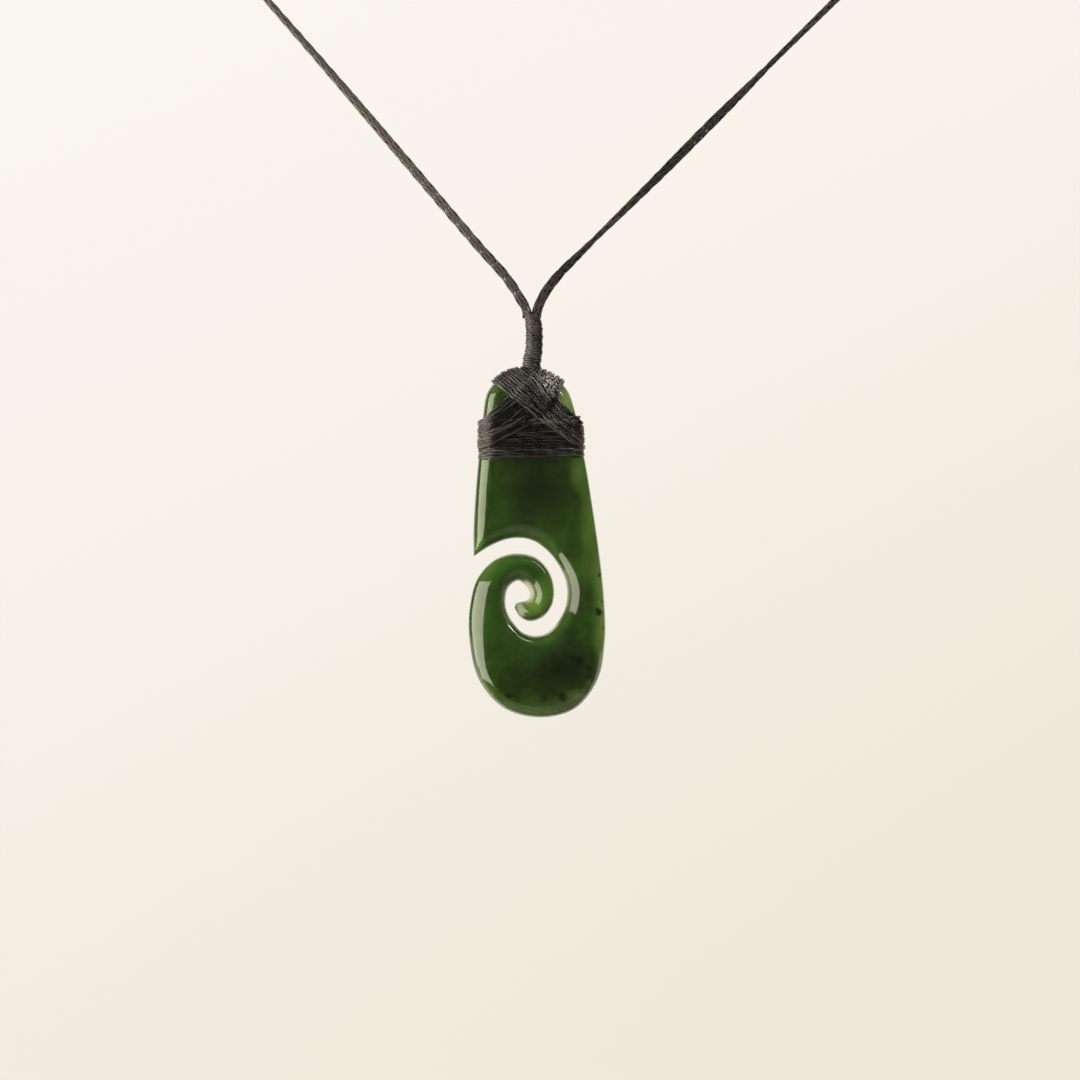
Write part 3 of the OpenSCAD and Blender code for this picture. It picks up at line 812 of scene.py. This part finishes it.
stoneSpecks = {  # columns: x and z from the parting, reach, strength
    "first": (6.2, -50.0, 1.1, 0.75), "second": (7.6, -51.0, 0.6, 0.7),
    "third": (7.9, -52.3, 0.5, 0.8), "fourth": (-3.8, -54.9, 0.8, 0.6),
    "fifth": (1.3, -55.4, 0.8, 0.45), "sixth": (4.0, -55.1, 1.0, 0.75),
    "seventh": (9.2, -43.0, 0.8, 0.9), "eighth": (9.3, -37.7, 0.4, 0.8),
    "ninth": (5.4, -49.4, 0.7, 0.5), "tenth": (9.6, -41.5, 0.35, 0.7),
    "eleventh": (8.9, -40.9, 0.3, 0.5), "twelfth": (9.9, -45.2, 0.4, 0.6)}
nephrite = {
    # the rim colour is a painted glow of light shining through the thin edges
    "pale": "#3f6127", "deep": "#284016", "rim": "#6c8f45", "speck": "#10170c",
    # how often each pattern repeats, and how far it pushes a patch's outline
    "cloud": 6, "drift": 4, "driftReach": 1.6, "fleck": 0.7, "fleckReach": 1.1,
    "cloudSpan": (0.35, 0.65), "rimReach": 1.9, "rimStrength": 0.3,
    "wallCore": 0.4, "wallSkirt": 0.2, "wallHold": 0.9, "speckCore": 0.15,
    "roughness": 0.09, "ior": 1.62, "scatter": 4, "scatterRadius": (0.85, 1.0, 0.45),
    "polish": 2.5, "polishDepth": 0.004,
}


def nephriteFinish():  # polished nephrite: deep cloudy green with a painted glow where it thins, patches of painted glow, shade and reflections, and a glassy skin
    finish, tree = newFinish("polishedNephrite")
    n = nephrite
    here = put(tree, "ShaderNodeTexCoord").outputs["Object"]
    drift = put(tree, "ShaderNodeTexNoise", inputs={
        "Vector": here, "Scale": perMetre(n["drift"]), "Detail": 3})
    push = put(tree, "ShaderNodeVectorMath", {"operation": "MULTIPLY_ADD"},
               {0: drift.outputs["Color"], 1: [n["driftReach"] * mm] * 3,
                2: [-n["driftReach"] * mm / 2] * 3})
    pushed = put(tree, "ShaderNodeVectorMath", {"operation": "ADD"}, {0: here, 1: push.outputs[0]})
    fleck = put(tree, "ShaderNodeTexNoise", inputs={
        "Vector": here, "Scale": perMetre(n["fleck"]), "Detail": 2})
    ragged = put(tree, "ShaderNodeVectorMath", {"operation": "MULTIPLY_ADD"},
                 {0: fleck.outputs["Color"], 1: [n["fleckReach"] * mm] * 3, 2: here})
    cloud = put(tree, "ShaderNodeTexNoise", inputs={
        "Vector": here, "Scale": perMetre(n["cloud"]), "Detail": 5, "Roughness": 0.6})
    share = put(tree, "ShaderNodeMapRange", inputs={
        "Value": cloud.outputs["Fac"],
        "From Min": n["cloudSpan"][0], "From Max": n["cloudSpan"][1]})
    edge = put(tree, "ShaderNodeAttribute", {"attribute_name": "rimDepth"}).outputs["Fac"]
    paintedRimGlow = put(tree, "ShaderNodeMapRange", {"interpolation_type": "SMOOTHSTEP"}, {
        "Value": edge, "From Min": n["rimReach"], "From Max": 0, "To Max": n["rimStrength"]})
    layers = [(share.outputs[0], n["pale"])]
    for x, z, rx, rz, tint, strength in stoneTintsAndPaintedLight.values():
        layers.append((patchFade(tree, pushed.outputs[0], (x, z), (rx, rz), 0, strength), tint))
    # painted glow near the edges
    layers.append((paintedRimGlow.outputs[0], n["rim"]))
    walled = 0
    for x, z, rx, rz, tint, strength, deep in paintedWallLightAndShade.values():
        skirt = put(tree, "ShaderNodeMapRange", {"interpolation_type": "SMOOTHSTEP"}, {
            "Value": edge, "From Min": deep, "From Max": deep * n["wallSkirt"]})
        wall = put(tree, "ShaderNodeMath", {"operation": "MULTIPLY"}, {
            0: patchFade(tree, here, (x, z), (rx, rz), n["wallCore"], strength),
            1: skirt.outputs[0]})
        layers.append((wall.outputs[0], tint))
        walled = put(tree, "ShaderNodeMath", {"operation": "MAXIMUM"},
                     {0: wall.outputs[0], 1: walled}).outputs[0]
    half = n["fleckReach"] / 2  # the raggedness pushes a speck's middle this far
    for x, z, r, strength in stoneSpecks.values():
        layers.append((patchFade(tree, ragged.outputs[0], (x + half, z + half), (r, r),
                                 n["speckCore"], strength), n["speck"]))
    colour = linear(n["deep"])
    for fade, tint in layers:
        colour = put(tree, "ShaderNodeMix", {"data_type": "RGBA"}, {
            "Factor": fade, "A": colour, "B": linear(tint)}).outputs["Result"]
    inside = put(tree, "ShaderNodeMath", {"operation": "MULTIPLY_ADD"},
                 {0: walled, 1: -n["wallHold"], 2: 1})
    wave = put(tree, "ShaderNodeTexNoise", inputs={
        "Vector": here, "Scale": perMetre(n["polish"]), "Detail": 1})
    skin = put(tree, "ShaderNodeBump", inputs={
        "Height": wave.outputs["Fac"], "Strength": 1, "Distance": n["polishDepth"] * mm})
    surface = put(tree, "ShaderNodeBsdfPrincipled", inputs={
        "Base Color": colour, "Roughness": n["roughness"], "IOR": n["ior"],
        "Subsurface Weight": inside.outputs[0], "Subsurface Radius": n["scatterRadius"],
        "Subsurface Scale": n["scatter"] * mm, "Normal": skin.outputs[0]})
    put(tree, "ShaderNodeOutputMaterial", inputs={"Surface": surface.outputs[0]})
    return finish


wax = {
    # columns: fibre, bloom of wax on it, roughness, a pale strand, depth of the fibre's relief
    "thread": ("#0c0b0b", "#2c2928", 0.24, "#63605d", 0.02),
    "cord": ("#1d1a16", "#39332c", 0.5, "#554e43", 0.012),
    # how often each repeats; real fibres are about 0.02 mm, drawn coarser here so that they show
    "fibre": 0.12, "patch": 1.4, "grain": 0.3,
    "patchSpan": (0.45, 0.7), "strandSpan": (0.6, 1), "strandStrength": 0.9,
    "glintFleckSpan": (0.48, 0.56), "fibreSpan": (0.3, 0.7), "smoother": 0.1, "rougher": 0.2,
    "relief": 0.8, "ior": 1.6}
# painted sheen, glints and shade on the threads; columns: x and z from the parting, reach across
# and up, colour, strength, share of it broken into pale glint flecks
threadPaintedLightAndShade = {
    # painted sheen on the stem, and painted shade at its left edge
    "stem": (-0.5, -4.0, 1.5, 6.5, "#403d3a", 0.35, 1.0),
    "stemSide": (-1.5, -3.0, 0.9, 4.0, "#141312", 0.85, 0.0),
    "stemShade": (1.0, -4.0, 1.0, 7.0, "#0d0c0c", 0.7, 0.0),
    # painted sheen and glints where the lamps catch the left strap and the band's ends
    "strapLeft": (-3.0, -9.6, 3.8, 3.0, "#55514f", 0.6, 1.0),
    "bandLeft": (-8.6, -18.0, 2.4, 5.0, "#6b665f", 0.7, 1.0),
    "bandRight": (8.6, -18.0, 3.2, 5.0, "#807a71", 0.8, 1.0),
    # painted shade on the band's middle, under the crossing, on the right strap and along the
    # band's foot
    "bandMiddle": (-0.5, -18.4, 6.8, 3.6, "#0c0b0b", 0.85, 0.0),
    "strapUnder": (-4.0, -14.5, 4.8, 3.3, "#0f0e0e", 0.78, 0.0),
    "crossing": (0.9, -12.9, 3.1, 3.0, "#0b0a0a", 0.95, 0.0),
    "strapRight": (4.3, -15.5, 3.1, 2.8, "#0c0b0b", 0.75, 0.0),
    "bandFoot": (0.0, -20.4, 10.0, 1.1, "#0e0d0d", 0.8, 0.0),
    "sparkle": (2.3, -9.9, 2.7, 3.0, "#ece8e1", 0.95, 1.0),
}
# painted sheen along the left cord and painted shade on the right cord; columns as for the threads
cordPaintedLightAndShade = {
    "leftRun": (-28, 32, 42, 64, "#71695c", 0.85, 0.3),
    "rightFoot": (4.5, 7, 4, 6, "#0f0e0c", 0.85, 0),
    "rightRun": (27, 29, 10, 10, "#12110f", 0.75, 0),
}


# black fibre under a dull, patchy wax, with painted sheen, glints and shade in patches, the glints
# broken into pale flecks
def waxedFinish(name, base, bloom, roughness, strandColour, fibreDepth, paintedLightAndShade):
    finish, tree = newFinish(name)
    w = wax
    here = put(tree, "ShaderNodeTexCoord").outputs["Object"]
    fibre = put(tree, "ShaderNodeTexNoise", inputs={
        "Vector": here, "Scale": perMetre(w["fibre"]), "Detail": 2})
    patch = put(tree, "ShaderNodeTexNoise", inputs={
        "Vector": here, "Scale": perMetre(w["patch"]), "Detail": 3, "Roughness": 0.7})
    share = put(tree, "ShaderNodeMapRange", inputs={
        "Value": patch.outputs["Fac"],
        "From Min": w["patchSpan"][0], "From Max": w["patchSpan"][1]})
    strand = put(tree, "ShaderNodeAttribute", {"attribute_name": "strandTone"})
    paleStrand = put(tree, "ShaderNodeMapRange", inputs={
        "Value": strand.outputs["Fac"], "From Min": w["strandSpan"][0],
        "From Max": w["strandSpan"][1], "To Max": w["strandStrength"]})
    grain = put(tree, "ShaderNodeTexNoise", inputs={
        "Vector": here, "Scale": perMetre(w["grain"]), "Detail": 2})
    glintFlecks = put(tree, "ShaderNodeMapRange", inputs={
        "Value": grain.outputs["Fac"],
        "From Min": w["glintFleckSpan"][0], "From Max": w["glintFleckSpan"][1]})
    layers = [(share.outputs[0], bloom), (paleStrand.outputs[0], strandColour)]
    # painted sheen, glints and shade placed in patches; a glint share breaks a patch into pale
    # flecks
    for x, z, rx, rz, tint, strength, glintShare in paintedLightAndShade:
        fade = patchFade(tree, here, (x, z), (rx, rz), 0, strength)
        if glintShare:
            broken = put(tree, "ShaderNodeMath", {"operation": "MULTIPLY_ADD"},
                         {0: glintFlecks.outputs[0], 1: glintShare, 2: 1 - glintShare})
            fade = put(tree, "ShaderNodeMath", {"operation": "MULTIPLY"},
                       {0: fade, 1: broken.outputs[0]}).outputs[0]
        layers.append((fade, tint))
    colour = linear(base)
    for fade, tint in layers:
        colour = put(tree, "ShaderNodeMix", {"data_type": "RGBA"}, {
            "Factor": fade, "A": colour, "B": linear(tint)}).outputs["Result"]
    dull = put(tree, "ShaderNodeMapRange", inputs={
        "Value": fibre.outputs["Fac"],
        "From Min": w["fibreSpan"][0], "From Max": w["fibreSpan"][1],
        "To Min": roughness - w["smoother"], "To Max": roughness + w["rougher"]})
    skin = put(tree, "ShaderNodeBump", inputs={
        "Height": fibre.outputs["Fac"], "Strength": w["relief"], "Distance": fibreDepth * mm})
    surface = put(tree, "ShaderNodeBsdfPrincipled", inputs={
        "Base Color": colour, "Roughness": dull.outputs[0], "IOR": w["ior"],
        "Normal": skin.outputs[0]})
    put(tree, "ShaderNodeOutputMaterial", inputs={"Surface": surface.outputs[0]})
    return finish


waxedThread = waxedFinish("waxedThread", *wax["thread"], threadPaintedLightAndShade.values())
waxedCord = waxedFinish("waxedCord", *wax["cord"], cordPaintedLightAndShade.values())
makeCord(waxedCord)
makeStone(nephriteFinish())
makeLashing(waxedThread)
makeStudio()
